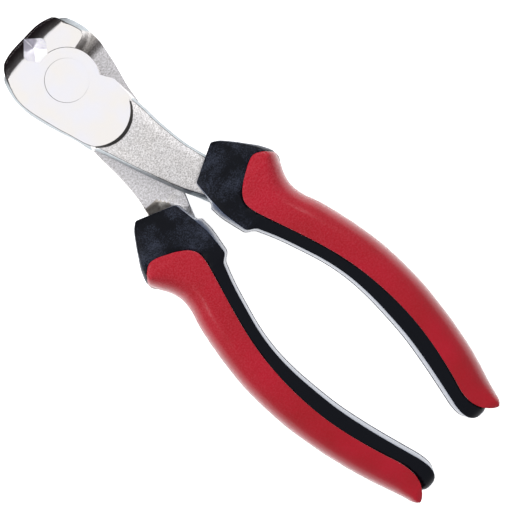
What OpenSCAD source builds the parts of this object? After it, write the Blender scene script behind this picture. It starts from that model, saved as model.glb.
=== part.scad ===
// End cutting nippers: two forged levers on one flush rivet, with two-layer grips.
// The pivot axis is Z, the cutting edges point along +Y, and the tool rests on the plane z = 0.
// Both levers are one shape: the rear one is the front one turned over about the Y axis.

/* [Head] */
// Distance from the pivot axis to the cutting edges
jaw_len = 18.9; // [17:0.1:22]
// Width across both closed jaws
head_w = 30.8; // [29:0.1:36]
// Thickness of the head, over both ground faces
head_t = 20; // [18:0.5:26]
// Distance from the pivot axis to the back end of a ground face
head_back = 21.8; // [20:0.1:24]
// Radius of the curved back end of a ground face
face_end_r = 12.8; // [12:0.1:16]
// Height of the step from a ground face down to the shank
face_step = 1; // [0.5:0.1:2]
// Width of the flat behind each cutting edge
edge_land = 0.45; // [0.2:0.05:1]
// Half width of the hollow between the jaws
hollow_half_w = 3.6; // [3:0.1:5]

/* [Pivot] */
// Diameter of the round boss of each lap plate
boss_d = 19.2; // [17:0.1:20]
// Diameter of the flush rivet heads
rivet_head_d = 13; // [11:0.1:14]
// Depth of each rivet head in its counterbore
rivet_head_t = 3; // [2:0.1:4]
// Diameter of the rivet between its heads
rivet_d = 9; // [7:0.1:10]

/* [Levers] */
// Overall length with the jaws closed
overall_len = 180; // [170:1:210]
// Width of the shank where it leaves the head
shank_w = 19; // [17:0.5:20]
// Width of the tang where it enters the grip
tang_w = 8.4; // [6:0.2:9]
// Thickness of the tang where it enters the grip
tang_t = 11; // [8:0.5:12]

/* [Grips] */
// Distance from the pivot axis to the top of the guard
guard_start = 42.6; // [41:0.1:46]
// Farthest distance of a grip's centre line from the middle of the tool
grip_bow = 22.8; // [21:0.1:27]
// Width of a grip
grip_w = 14.6; // [14:0.1:17]
// Thickness of a grip over its soft cover
grip_t = 20; // [18:0.5:24]
// How far the guard flares out past the grip
guard_flare = 10.2; // [8:0.1:14]
// Width of the hard sleeve that shows beside the soft cover
sleeve_show = 3.8; // [3:0.1:5]
// Thickness of the soft cover over the sleeve's core
cover_t = 3; // [2:0.1:3.5]
// How far the soft cover stands proud of the hard sleeve
cover_proud = 0.3; // [0.1:0.1:0.6]

/* [Fits] */
// Radial clearance of the rivet in the bores and counterbores
run_gap = 0.05; // [0.02:0.01:0.1]
// Gap between the two lap plates, and under each rivet head
lap_gap = 0.1; // [0.05:0.05:0.3]
// Gap between a jaw and the other lever's boss
boss_gap = 0.3; // [0.2:0.05:0.5]
// Gap between the two cutting edges when the jaws are closed
edge_gap = 0.1; // [0.05:0.05:0.3]
// Gap between a lever, its sleeve and its cover
mould_gap = 0.05; // [0.02:0.01:0.1]

/* [Hidden] */
$fn = 96;

steel = "#C9C9CB";
ground_steel = "#E4E2E4";
sleeve_black = "#1B1D22";
cover_red = "#B8202F";

half_w = head_w / 2;
half_t = head_t / 2;
boss_r = boss_d / 2;
bow_half_t = grip_t / 2;
handle_len = overall_len - jaw_len;
grip_len = handle_len - guard_start;
// Overrun of every cut, and thickness of the slices that a hull spans
over = 1;
slice_t = 0.02;
// Points round one cross section
ring_n = 20;

// Jaw outline from the middle of the front to the back wall: shares of half_w and jaw_len
jaw_shares = [[0, 1], [0.325, 0.995], [0.6, 0.985], [0.68, 0.97], [0.75, 0.93], [0.85, 0.85],
              [0.905, 0.75], [0.96, 0.62], [0.985, 0.52], [1, 0.42], [1, 0.34]];
// Profile of the jaws' front, seen from the side: shares of half_t, and of jaw_len kept at that height
nose_shares = [[0, 1], [0.45, 0.992], [0.72, 0.97], [0.85, 0.925], [0.94, 0.84], [1, 0.72]];
// Share of a jaw's width kept at the face away from its own lap plate
draft_share = 0.87;
// Back wall of a jaw beside the other lever's boss: shares of half_w and jaw_len
wall_shares = [[0.54, 0.27], [0.85, 0.35]];
// Flank of the lap plate on the jaw side: shares of half_w, and of jaw_len or head_back
flank_front_shares = [[-0.9, 0.55], [-1, 0.34], [-0.987, 0.22]];
flank_back_shares = [[-0.948, 0.05], [-0.89, 0.285], [-0.805, 0.505], [-0.69, 0.76], [-0.63, 0.88],
                     [-0.6, 1.05]];
// Edge of the lap plate on the handle side, from its end to its shoulder: the same shares
shoulder_shares = [[0.58, 1.05], [0.585, 0.79], [0.6, 0.67], [0.617, 0.53], [0.63, 0.41],
                   [0.58, 0.33], [0.53, 0.29], [0.3, 0.2]];
// Sideways offset of the centre of the ground face's end arc, as a share of half_w
arc_off_share = -0.052;

// Upper bar of the shank, on its own side of the lap plane, in rows of: share of guard_start,
// centre as a share of grip_bow, width as a share of shank_w, top as a share of half_t - face_step
shank_shares = [[0.33, 0, 1.05, 1], [0.469, 0.027, 0.992, 1], [0.587, 0.058, 0.908, 0.97],
                [0.728, 0.103, 0.826, 0.91], [0.892, 0.169, 0.742, 0.82], [1.009, 0.235, 0.721, 0.75],
                [1.127, 0.287, 0.658, 0.69], [1.268, 0.351, 0.568, 0.63], [1.35, 0.39, 0.42, 0.5]];
// Heel where the bar thickens past the lap plane, in rows of: share of guard_start, centre and width
// as shares of grip_bow, and underside as a share of tang_t
heel_shares = [[0.985, 0.382, 0.22, 0.06], [1.021, 0.373, 0.307, 0.2], [1.068, 0.37, 0.346, 0.33],
               [1.115, 0.336, 0.443, 0.43], [1.185, 0.316, 0.5, 0.48], [1.268, 0.351, 0.474, 0.5]];
// Top of the heel as a share of tang_t
heel_top_share = 0.5;
// Tang inside the grip, in rows of: share of grip_len, centre as a share of grip_bow, and shares of
// tang_w and tang_t
tang_shares = [[0.13, 0.408, 1, 0.95], [0.19, 0.504, 0.98, 0.86], [0.248, 0.614, 0.95, 0.8],
               [0.29, 0.697, 0.93, 0.76], [0.336, 0.768, 0.9, 0.73], [0.385, 0.833, 0.88, 0.71],
               [0.44, 0.895, 0.86, 0.69], [0.52, 0.965, 0.83, 0.66], [0.58, 0.974, 0.81, 0.64],
               [0.645, 0.952, 0.79, 0.62], [0.715, 0.895, 0.77, 0.6], [0.78, 0.825, 0.75, 0.58],
               [0.83, 0.768, 0.72, 0.56], [0.87, 0.711, 0.6, 0.45]];
// Roundness of the forged sections, the tang and the grips: 1 is an ellipse and 0 is a rectangle
shank_round_share = 0.45;
tang_round_share = 0.4;
grip_round_share = 0.55;

// Whole grip with its guard, in rows of: share of grip_len, centre as a share of grip_bow, width as a
// share of grip_w, flare as a share of guard_flare, half thickness as a share of grip_t / 2
grip_shares = [[0, 0.724, 0.055, 0, 0.55], [0.006, 0.689, 0.288, 0, 0.66],
               [0.016, 0.645, 0.562, 0, 0.76], [0.03, 0.599, 0.884, 0, 0.86],
               [0.044, 0.509, 1, 0.245, 0.92], [0.07, 0.474, 1, 0.54, 0.97],
               [0.11, 0.434, 1, 0.93, 1], [0.13, 0.439, 1, 1, 1], [0.155, 0.452, 1, 0.87, 1],
               [0.19, 0.482, 1, 0.6, 1], [0.216, 0.509, 1, 0.47, 1], [0.232, 0.6, 1, 0.3, 1],
               [0.248, 0.654, 1, 0.196, 1], [0.29, 0.732, 1, 0.186, 1], [0.336, 0.798, 1, 0.147, 1],
               [0.385, 0.864, 1, 0.137, 1], [0.44, 0.934, 1, 0.07, 1], [0.52, 1, 1, 0, 1],
               [0.58, 1, 0.99, 0, 1], [0.645, 0.979, 0.985, 0, 1], [0.715, 0.924, 0.98, 0, 0.99],
               [0.78, 0.851, 0.98, 0, 0.98], [0.83, 0.79, 0.973, 0, 0.97],
               [0.885, 0.715, 0.932, 0, 0.96], [0.93, 0.673, 0.856, 0, 0.93],
               [0.955, 0.68, 0.767, 0, 0.88], [0.97, 0.726, 0.58, 0, 0.8],
               [0.982, 0.77, 0.404, 0, 0.7], [0.993, 0.785, 0.274, 0, 0.58],
               [1, 0.794, 0.123, 0, 0.42]];
// Rows of the grip that the core under the soft cover spans, and that the strip beside it follows
core_rows = [6 : 24];
strip_rows = [9 : 25];
// Top edge of the soft cover, from the strip up and out past the guard: shares of grip_len and grip_bow
arch_shares = [[0.167, 0.434], [0.148, 0.491], [0.132, 0.588], [0.113, 0.75], [0.102, 0.855],
               [0.098, 0.965], [0.108, 1.057], [0.129, 1.162], [0.145, 1.4]];
// Lower end of the strip, where the soft cover's nose runs past the hard sleeve: the same shares
nose_end_shares = [[0.972, 0.632], [0.99, 0.3], [1.1, 0.3], [1.1, 1.6]];

// A share of a half width or height, bulged from an ellipse towards a rectangle
function bulge(v, round_share) = sign(v) * pow(abs(v), round_share);

// Cross section in the plane y, between two sides and two heights
function ring(y, xa, xb, za, zb, round_share) =
    [for (i = [0 : ring_n - 1])
        let (a = 360 * i / ring_n)
        [(xa + xb) / 2 + (xb - xa) / 2 * bulge(cos(a), round_share), y,
         (za + zb) / 2 + (zb - za) / 2 * bulge(sin(a), round_share)]];

function grip_y(s) = -(guard_start + s * grip_len);
function grip_in(r) = r[1] * grip_bow - r[2] * grip_w / 2;
function grip_out(r) = r[1] * grip_bow + r[2] * grip_w / 2 + r[3] * guard_flare;

// Section of the grip at one row: grown is added on each side, and inset taken off top and bottom
function grip_ring(r, in_x, out_x, inset) =
    let (h = r[4] * bow_half_t - inset)
    ring(grip_y(r[0]), grip_in(r) + in_x, grip_out(r) - out_x, -h, h, grip_round_share);

function shank_ring(r, grown) =
    let (c = r[1] * grip_bow, w = r[2] * shank_w / 2 + grown)
    ring(-r[0] * guard_start, c - w, c + w, lap_gap / 2 - grown,
         r[3] * (half_t - face_step) + grown, shank_round_share);

function heel_ring(r, grown) =
    let (c = r[1] * grip_bow, w = r[2] * grip_bow / 2 + grown)
    ring(-r[0] * guard_start, c - w, c + w, -r[3] * tang_t - grown, heel_top_share * tang_t + grown,
         tang_round_share);

function tang_ring(r, grown) =
    let (c = r[1] * grip_bow, w = r[2] * tang_w / 2 + grown, h = r[3] * tang_t / 2 + grown)
    ring(grip_y(r[0]), c - w, c + w, -h, h, tang_round_share);

// Points of a row of shares, scaled to real sizes
function scaled(shares, sx, sy) = [for (p = shares) [p[0] * sx, p[1] * sy]];

// Closed solid through a row of cross sections
module loft(rings) {
    n = len(rings[0]);
    last = len(rings) - 1;
    polyhedron(
        points = [for (r = rings) each r],
        faces = [
            for (j = [0 : last - 1], i = [0 : n - 1])
                each [[j * n + i, (j + 1) * n + i, j * n + (i + 1) % n],
                      [j * n + (i + 1) % n, (j + 1) * n + i, (j + 1) * n + (i + 1) % n]],
            for (i = [1 : n - 2]) [0, i, i + 1],
            for (i = [1 : n - 2]) [last * n, last * n + i + 1, last * n + i]
        ]
    );
}

// Solid through a row of cross sections, with one convex band between each two
module bands(rings) {
    for (j = [0 : len(rings) - 2])
        hull() loft([rings[j], rings[j + 1]]);
}

// Outline of a jaw at one height: the front is kept to one share and the width to another
module jaw_slice(z, front_share, width_share) {
    translate([0, 0, z])
        linear_extrude(slice_t)
            polygon(concat(
                scaled(jaw_shares, -half_w * width_share, jaw_len * front_share),
                scaled([wall_shares[1], wall_shares[0], [0, wall_shares[0][1]]], -half_w, jaw_len)));
}

// Jaw over the full thickness, drafted towards the face away from its own lap plate
module jaw_block() {
    hull() {
        for (r = nose_shares) {
            jaw_slice(r[0] * (half_t - slice_t), r[1], 1);
            jaw_slice(-r[0] * half_t, r[1], 1 - (1 - draft_share) * r[0]);
        }
    }
}

// Half of the hollow between the jaws, with the bevel up to the cutting edge
module jaw_hollow() {
    translate([0, 0, -half_t - over])
        linear_extrude(head_t + 2 * over)
            polygon([[over, jaw_len - edge_land], [-edge_gap / 2, jaw_len - edge_land],
                     [-hollow_half_w, jaw_len - edge_land - hollow_half_w],
                     [-hollow_half_w, 0], [over, 0]]);
}

// Plan of the ground face and lap plate
module plate_plan() {
    arc_y = face_end_r - head_back;
    circle(boss_r);
    intersection() {
        polygon(concat(
            scaled(flank_front_shares, half_w, jaw_len),
            scaled(flank_back_shares, half_w, -head_back),
            scaled(shoulder_shares, half_w, -head_back)));
        union() {
            translate([arc_off_share * half_w, arc_y])
                circle(face_end_r);
            translate([-half_w - over, arc_y])
                square([head_w + 2 * over, jaw_len - arc_y]);
        }
    }
}

// Solid part of a lever before its bore: jaw, lap plate, shank, heel and tang
module lever_body() {
    difference() {
        jaw_block();
        jaw_hollow();
        translate([-edge_gap / 2, 0, -half_t - over])
            cube([head_w, jaw_len + over, head_t + 2 * over]);
        translate([0, 0, -half_t - over])
            cylinder(h = half_t + over + lap_gap / 2, r = boss_r + boss_gap);
    }
    translate([0, 0, lap_gap / 2])
        linear_extrude(half_t - lap_gap / 2)
            plate_plan();
    loft([for (r = shank_shares) shank_ring(r, 0)]);
    loft(concat([for (r = heel_shares) heel_ring(r, 0)], [for (r = tang_shares) tang_ring(r, 0)]));
}

module lever() {
    difference() {
        lever_body();
        translate([0, 0, -half_t])
            cylinder(h = head_t + over, d = rivet_d + 2 * run_gap);
        translate([0, 0, half_t - rivet_head_t - lap_gap / 2])
            cylinder(h = rivet_head_t + over, d = rivet_head_d + 2 * run_gap);
    }
}

// Everything of one side: the front side lies as drawn, and the rear side is turned over
module front_side() {
    translate([0, 0, half_t])
        children();
}

module rear_side() {
    translate([0, 0, half_t])
        rotate([0, 180, 0])
            children();
}

// Whole grip, with the soft cover's thickness taken off top and bottom as inset says
module grip_whole(inset) {
    bands([for (r = grip_shares) grip_ring(r, 0, 0, inset)]);
}

// Core of the hard sleeve under the soft cover
module grip_core(grown) {
    bands([for (i = core_rows)
        grip_ring(grip_shares[i], sleeve_show / 2 - grown, cover_t - grown, cover_t - grown)]);
}

// Prism over the soft cover's side of the grip
module cover_region(inset) {
    translate([0, 0, -bow_half_t - over])
        linear_extrude(grip_t + 2 * over)
            offset(delta = -inset)
                polygon(concat(
                    [for (i = [len(arch_shares) - 1 : -1 : 0])
                        [arch_shares[i][1] * grip_bow, grip_y(arch_shares[i][0])]],
                    [for (i = strip_rows)
                        [grip_in(grip_shares[i]) + sleeve_show, grip_y(grip_shares[i][0])]],
                    [for (p = nose_end_shares) [p[1] * grip_bow, grip_y(p[0])]]));
}

module sleeve() {
    difference() {
        union() {
            difference() {
                grip_whole(cover_proud);
                cover_region(-mould_gap / 2);
            }
            grip_core(0);
        }
        loft([for (r = shank_shares) shank_ring(r, mould_gap)]);
        loft(concat([for (r = heel_shares) heel_ring(r, mould_gap)],
                    [for (r = tang_shares) tang_ring(r, mould_gap)]));
    }
}

module cover() {
    difference() {
        intersection() {
            grip_whole(0);
            cover_region(mould_gap / 2);
        }
        grip_core(mould_gap);
    }
}

module front_lever() {
    color(steel)
        front_side()
            lever();
}

module rear_lever() {
    color(steel)
        rear_side()
            lever();
}

module pivot_rivet() {
    color(ground_steel) {
        cylinder(h = head_t, d = rivet_d);
        cylinder(h = rivet_head_t, d = rivet_head_d);
        translate([0, 0, head_t - rivet_head_t])
            cylinder(h = rivet_head_t, d = rivet_head_d);
    }
}

module front_grip_sleeve() {
    color(sleeve_black)
        front_side()
            sleeve();
}

module front_grip_cover() {
    color(cover_red)
        front_side()
            cover();
}

module rear_grip_sleeve() {
    color(sleeve_black)
        rear_side()
            sleeve();
}

module rear_grip_cover() {
    color(cover_red)
        rear_side()
            cover();
}

front_lever();
rear_lever();
pivot_rivet();
front_grip_sleeve();
front_grip_cover();
rear_grip_sleeve();
rear_grip_cover();
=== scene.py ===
# %% [markdown]
# # End cutting nippers
#
# This notebook dresses a pair of end cutting nippers that a CAD model has already sized. The CAD model is the
# fixed frame: it says where the pivot is, how long the handles are and how the two halves move. Here each
# visible surface gets its real form and finish. The halves are one shape used twice, as on the real tool, where
# one forging die makes both levers and one mould makes both grips.

# %% Load the fixed frame
import math
import bmesh
import bpy
from mathutils import Matrix, Vector
from mathutils.kdtree import KDTree


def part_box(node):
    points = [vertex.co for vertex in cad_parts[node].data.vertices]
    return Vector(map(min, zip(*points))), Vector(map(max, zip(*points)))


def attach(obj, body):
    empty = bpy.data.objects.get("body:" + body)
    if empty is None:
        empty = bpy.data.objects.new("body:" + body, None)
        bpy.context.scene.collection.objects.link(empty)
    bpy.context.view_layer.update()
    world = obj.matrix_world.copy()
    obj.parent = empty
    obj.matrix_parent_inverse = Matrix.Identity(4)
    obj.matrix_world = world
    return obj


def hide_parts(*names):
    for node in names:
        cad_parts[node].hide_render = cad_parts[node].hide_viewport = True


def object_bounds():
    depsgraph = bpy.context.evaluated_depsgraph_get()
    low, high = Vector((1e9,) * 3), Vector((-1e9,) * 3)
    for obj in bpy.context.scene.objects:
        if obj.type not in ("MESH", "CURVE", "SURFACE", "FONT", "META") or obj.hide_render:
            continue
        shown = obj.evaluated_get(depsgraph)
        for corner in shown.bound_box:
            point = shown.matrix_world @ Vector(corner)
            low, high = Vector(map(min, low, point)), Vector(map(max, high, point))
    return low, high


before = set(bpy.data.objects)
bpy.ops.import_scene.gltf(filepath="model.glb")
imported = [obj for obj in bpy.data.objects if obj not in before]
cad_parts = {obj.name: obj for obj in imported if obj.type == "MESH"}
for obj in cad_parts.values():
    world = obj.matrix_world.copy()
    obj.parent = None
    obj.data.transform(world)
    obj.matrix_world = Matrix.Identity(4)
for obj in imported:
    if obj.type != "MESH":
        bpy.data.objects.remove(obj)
cad_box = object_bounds()
print("CAD box, metres:", [tuple(round(c, 4) for c in corner) for corner in cad_box])

# %% [markdown]
# ## Working units
#
# Hand tools are drawn in millimetres, with heights measured from the plane where the two levers lap. The rivet
# runs through both levers and ends flush with both ground faces, so its box gives that plane and the thickness
# of the head.

# %% Millimetres about the lap plane
MM = 0.001
rivet_low, rivet_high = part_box("pivot_rivet")
LAP_Z = (rivet_low.z + rivet_high.z) / 2
FACE = (rivet_high.z - LAP_Z) / MM
TO_FRONT = Matrix.Translation((0, 0, LAP_Z)) @ Matrix.Scale(MM, 4)
TO_REAR = Matrix.Translation((0, 0, LAP_Z)) @ Matrix.Rotation(math.pi, 4, "Y") @ Matrix.Scale(MM, 4)
print("The lap plane is", round(LAP_Z / MM, 2), "mm up and each ground face", round(FACE, 2), "mm from it")

# %% [markdown]
# ## The camera
#
# The photograph looks straight down on the tool, from close enough that the upper face of the head hides less
# of its own sides towards the corner of the picture. One millimetre at the lap plane is 3.33 pixels, and the
# shift between the near and far edges of the head puts the lens 365 mm above that plane. The tool lies across
# the picture, so the camera is turned about its own line of sight.

# %% Camera
VIEW_WIDTH = 153 * MM
VIEW_DISTANCE = 365 * MM
VIEW_CENTRE = Vector((1.05 * MM, -74.9 * MM))
VIEW_TURN = math.radians(-46.3)

camera_data = bpy.data.cameras.new("camera")
camera_data.sensor_fit = "HORIZONTAL"
camera_data.lens = camera_data.sensor_width * VIEW_DISTANCE / VIEW_WIDTH
camera = bpy.data.objects.new("camera", camera_data)
camera.location = (VIEW_CENTRE.x, VIEW_CENTRE.y, LAP_Z + VIEW_DISTANCE)
camera.rotation_euler = (0, 0, VIEW_TURN)
bpy.context.scene.collection.objects.link(camera)
bpy.context.scene.camera = camera
bpy.context.scene.view_settings.view_transform = "Standard"
print("Lens:", round(camera_data.lens, 1), "mm")

# %% [markdown]
# ## Colours and shader nodes
#
# Colours are written as they look on a screen, in sRGB hex, and one function turns them to the linear values
# that a shader works with. One more function adds a shader node with its settings and links, which keeps each
# material short enough to read. An input goes by its name, or by its number where a node has several inputs of
# one name, as Math and Mix do. A colour ramp also takes its stops.

# %% Helpers for materials
def linear(hex_colour):
    """Linear RGBA of an sRGB hex colour such as "B8202F"."""
    channels = [int(hex_colour[i:i + 2], 16) / 255 for i in (0, 2, 4)]
    return [c / 12.92 if c <= 0.04045 else ((c + 0.055) / 1.055) ** 2.4 for c in channels] + [1]


def add_node(tree, kind, settings=None, numbered=None, stops=(), **named):
    """Adds a node: its own options, its inputs by number and by name, and a colour ramp's stops."""
    node = tree.nodes.new(kind)
    for option, value in (settings or {}).items():
        setattr(node, option, value)
    for k, (position, hex_colour) in enumerate(stops):
        ramp = node.color_ramp.elements
        stop = ramp[k] if k < len(ramp) else ramp.new(position)
        stop.position, stop.color = position, linear(hex_colour)
    inputs = {name.replace("_", " "): value for name, value in named.items()} | (numbered or {})
    for key, value in inputs.items():
        socket = node.inputs[key]
        if isinstance(value, bpy.types.NodeSocket):
            tree.links.new(value, socket)
        else:
            socket.default_value = value
    return node


def blank_material(name):
    """A material with an empty node tree, and that tree."""
    material = bpy.data.materials.new(name)
    material.use_nodes = True
    material.node_tree.nodes.clear()
    return material, material.node_tree


def finish_material(material, shader):
    """Links a shader node to the surface output, and gives the material back."""
    add_node(material.node_tree, "ShaderNodeOutputMaterial", Surface=shader.outputs[0])
    return material


def grain(size_mm):
    """Noise scale, per metre, that gives grains of a size in millimetres."""
    return 1 / (size_mm * MM)


print("Half grey on a screen, 808080, is", round(linear("808080")[0], 3), "of white's light")

# %% [markdown]
# ## The studio
#
# The tool lies on a white sweep in a light tent. White all round is what gives the soft plastic its pale rim
# and the ground faces their near-white. A tent alone leaves metal without form, so there are two black cards
# past the jaws: a tall one that stands before the softboxes, and a low one that lies on the paper in front of
# it. Only the noses, which curve down towards the cards, pick them up. The cards are hidden from the camera and
# from diffuse light, and do only what real ones do to a polished surface. The paper is brighter in reflections
# than in diffuse light, which keeps the sides of the metal light.

# %% World and softboxes
TENT_LIGHT = 0.3
SOFTBOX_SIZE = 0.4
SOFTBOX_SIDE, SOFTBOX_FORWARD, SOFTBOX_UP = 0.3, 0.22, 0.42
TOOL_CENTRE = (cad_box[0] + cad_box[1]) / 2


def build_world():
    """White to the camera and to reflections, and weaker as the light that falls on the object."""
    world = bpy.data.worlds.new("light_tent")
    bpy.context.scene.world = world
    world.use_nodes = True
    tree = world.node_tree
    tree.nodes.clear()
    path = add_node(tree, "ShaderNodeLightPath").outputs
    seen = path["Is Camera Ray"]
    for ray in ("Is Glossy Ray", "Is Transmission Ray"):
        seen = add_node(tree, "ShaderNodeMath", {"operation": "MAXIMUM"}, {0: seen, 1: path[ray]}).outputs[0]
    strength = add_node(tree, "ShaderNodeMapRange", Value=seen, To_Min=TENT_LIGHT, To_Max=1.0)
    background = add_node(tree, "ShaderNodeBackground", Color=linear("FFFFFF"), Strength=strength.outputs[0])
    add_node(tree, "ShaderNodeOutputWorld", Surface=background.outputs[0])


build_world()
for name, side, watts in (("softbox_left", -1, 1.9), ("softbox_right", 1, 1.6)):
    light = bpy.data.lights.new(name, "AREA")
    light.size, light.energy = SOFTBOX_SIZE, watts
    lamp = bpy.data.objects.new(name, light)
    lamp.location = (side * SOFTBOX_SIDE, SOFTBOX_FORWARD, SOFTBOX_UP)
    lamp.rotation_euler = (TOOL_CENTRE - lamp.location).to_track_quat("-Z", "Y").to_euler()
    bpy.context.scene.collection.objects.link(lamp)
    print(name, "gives", watts, "watts")

# %% White sweep and black cards
SWEEP_SIZE, SWEEP_DROP = 3, 0.02 * MM
PAPER_OWN_WHITE, PAPER_GLARE = 0.9, 1.5
CARD_WIDTH = 0.7
# Name, depth and centre in metres, tilt in degrees
CARDS = [("black_flag", 0.5, (-0.02, 0.18, 0.25), 85), ("black_foot", 0.139, (-0.02, 0.0905, 0), 0)]
HIDDEN_FROM = ("visible_camera", "visible_diffuse", "visible_shadow", "visible_transmission")


def stage_plane(name, width, depth, material):
    """A flat card made in the plane z = 0, for the studio."""
    bm = bmesh.new()
    bmesh.ops.create_grid(bm, x_segments=1, y_segments=1, size=0.5)
    bmesh.ops.scale(bm, vec=(width, depth, 1), verts=bm.verts)
    mesh = bpy.data.meshes.new(name)
    bm.to_mesh(mesh)
    bm.free()
    card = bpy.data.objects.new(name, mesh)
    mesh.materials.append(material)
    bpy.context.scene.collection.objects.link(card)
    return card


def white_paper():
    """Paper that shows white, with a faint shadow: most of its white is its own, seen by the camera."""
    material, tree = blank_material("white_paper")
    path = add_node(tree, "ShaderNodeLightPath").outputs
    seen = add_node(tree, "ShaderNodeMath", {"operation": "MULTIPLY"},
                    {0: path["Is Camera Ray"], 1: PAPER_OWN_WHITE})
    own = add_node(tree, "ShaderNodeMath", {"operation": "MULTIPLY_ADD"},
                   {0: path["Is Glossy Ray"], 1: PAPER_GLARE, 2: seen.outputs[0]})
    paper = add_node(tree, "ShaderNodeBsdfDiffuse", Color=linear("F4F4F4"))
    glow = add_node(tree, "ShaderNodeEmission", Color=linear("FFFFFF"), Strength=own.outputs[0])
    return finish_material(material, add_node(tree, "ShaderNodeAddShader", None,
                                              {0: paper.outputs[0], 1: glow.outputs[0]}))


def black_card():
    """Matt black card, which reflects next to nothing."""
    material, tree = blank_material("black_card")
    return finish_material(material, add_node(tree, "ShaderNodeBsdfDiffuse", Color=linear("231C1F")))


floor = stage_plane("white_sweep", SWEEP_SIZE, SWEEP_SIZE, white_paper())
floor.location = (0, 0, -SWEEP_DROP)
matt_black = black_card()
for name, depth, centre, tilt in CARDS:
    flag = stage_plane(name, CARD_WIDTH, depth, matt_black)
    flag.location = centre
    flag.rotation_euler = (math.radians(tilt), 0, 0)
    for ray in HIDDEN_FROM:
        setattr(flag, ray, False)
print("On the stage:", floor.name, "and", len(CARDS), "black cards")

# %% [markdown]
# ## Blasted steel
#
# The shanks are drop forged, then blasted with grit and plated with satin nickel. Blasting leaves a fine dimpled
# skin, which breaks reflections up into light and dark specks. The grit leaves dimples of about 0.4 mm, which is
# just over a pixel here, so it is drawn at its real size. A band of painted shade darkens the corner behind the
# jaws.

# %% Blasted nickel
# Painted shade in the corner behind the jaws: where it ends in y, and its stops
CORNER_SHADE_END_Y = 8
CORNER_SHADE_STOPS = ((0.08, "FFFFFF"), (0.27, "93918F"), (0.38, "7F7C7A"), (0.6, "D2CFCB"), (1.0, "FFFFFF"))
# A Mix node's numbers for mixing colours: its factor, its two colours and its result
FACTOR, COLOUR_A, COLOUR_B, MIXED = 0, 6, 7, 2
MULTIPLY = {"data_type": "RGBA", "blend_type": "MULTIPLY"}


def corner_painted_shade(tree, place):
    """Painted shade: a dark band across the lever in the corner behind the jaws, and white elsewhere."""
    axes = add_node(tree, "ShaderNodeSeparateXYZ", Vector=place)
    along = add_node(tree, "ShaderNodeMapRange", Value=axes.outputs["Y"], From_Min=0.0, From_Max=CORNER_SHADE_END_Y * MM)
    return add_node(tree, "ShaderNodeValToRGB", stops=CORNER_SHADE_STOPS, Fac=along.outputs[0]).outputs[0]


def blasted_nickel():
    """Satin nickel over a blasted forging: fine specks, under patches of a slightly warmer or cooler grey."""
    material, tree = blank_material("blasted_nickel")
    place = add_node(tree, "ShaderNodeTexCoord").outputs["Object"]
    dimples = add_node(tree, "ShaderNodeTexNoise", Vector=place, Scale=grain(0.4), Detail=3.0, Roughness=0.6)
    patches = add_node(tree, "ShaderNodeTexNoise", Vector=place, Scale=grain(7), Detail=3.0)
    specks = add_node(tree, "ShaderNodeValToRGB", stops=((0.32, "9E9C9B"), (0.62, "E2E1E2")),
                      Fac=dimples.outputs["Fac"])
    tone = add_node(tree, "ShaderNodeValToRGB", stops=((0, "EEEBE8"), (1, "FAFAFD")), Fac=patches.outputs["Fac"])
    unshaded = add_node(tree, "ShaderNodeMix", MULTIPLY,
                     {FACTOR: 1.0, COLOUR_A: specks.outputs[0], COLOUR_B: tone.outputs[0]})
    # Painted shade in the corner behind the jaws
    colour = add_node(tree, "ShaderNodeMix", MULTIPLY,
                      {FACTOR: 1.0, COLOUR_A: unshaded.outputs[MIXED], COLOUR_B: corner_painted_shade(tree, place)})
    bump = add_node(tree, "ShaderNodeBump", Height=dimples.outputs["Fac"], Strength=0.4, Distance=0.1 * MM)
    steel = add_node(tree, "ShaderNodeBsdfPrincipled", Base_Color=colour.outputs[MIXED], Metallic=1.0,
                     Roughness=0.46, Normal=bump.outputs[0])
    return finish_material(material, steel)


FINISH = {"lever_steel": blasted_nickel()}
print("Made", FINISH["lever_steel"].name)

# %% [markdown]
# ## Ground steel
#
# The two faces of the head are ground flat after plating, then polished, so they mirror the tent and look
# almost white. What gives them away as metal is a faint tint that drifts from lilac to tan, and the hair-fine
# lines that the wheel leaves along one direction.

# %% Ground steel
def ground_steel():
    """Ground and polished steel: nearly white, with a faint drift of tint and lines along one direction."""
    material, tree = blank_material("ground_steel")
    place = add_node(tree, "ShaderNodeTexCoord").outputs["Object"]
    drift = add_node(tree, "ShaderNodeTexNoise", Vector=place, Scale=grain(9), Detail=2.0)
    tint = add_node(tree, "ShaderNodeValToRGB", stops=((0.35, "F4F0ED"), (0.65, "F1F0F7")),
                    Fac=drift.outputs["Fac"])
    along = add_node(tree, "ShaderNodeMapping", Vector=place, Scale=(1.0, 0.06, 1.0))
    lines = add_node(tree, "ShaderNodeTexNoise", Vector=along.outputs[0], Scale=grain(0.25), Detail=4.0)
    gloss = add_node(tree, "ShaderNodeMapRange", Value=lines.outputs["Fac"], To_Min=0.09, To_Max=0.17)
    bump = add_node(tree, "ShaderNodeBump", Height=lines.outputs["Fac"], Strength=0.06, Distance=0.02 * MM)
    steel = add_node(tree, "ShaderNodeBsdfPrincipled", Base_Color=tint.outputs[0], Metallic=1.0,
                     Roughness=gloss.outputs[0], Normal=bump.outputs[0])
    return finish_material(material, steel)


FINISH["rivet_steel"] = ground_steel()
print("Made", FINISH["rivet_steel"].name)
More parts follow.
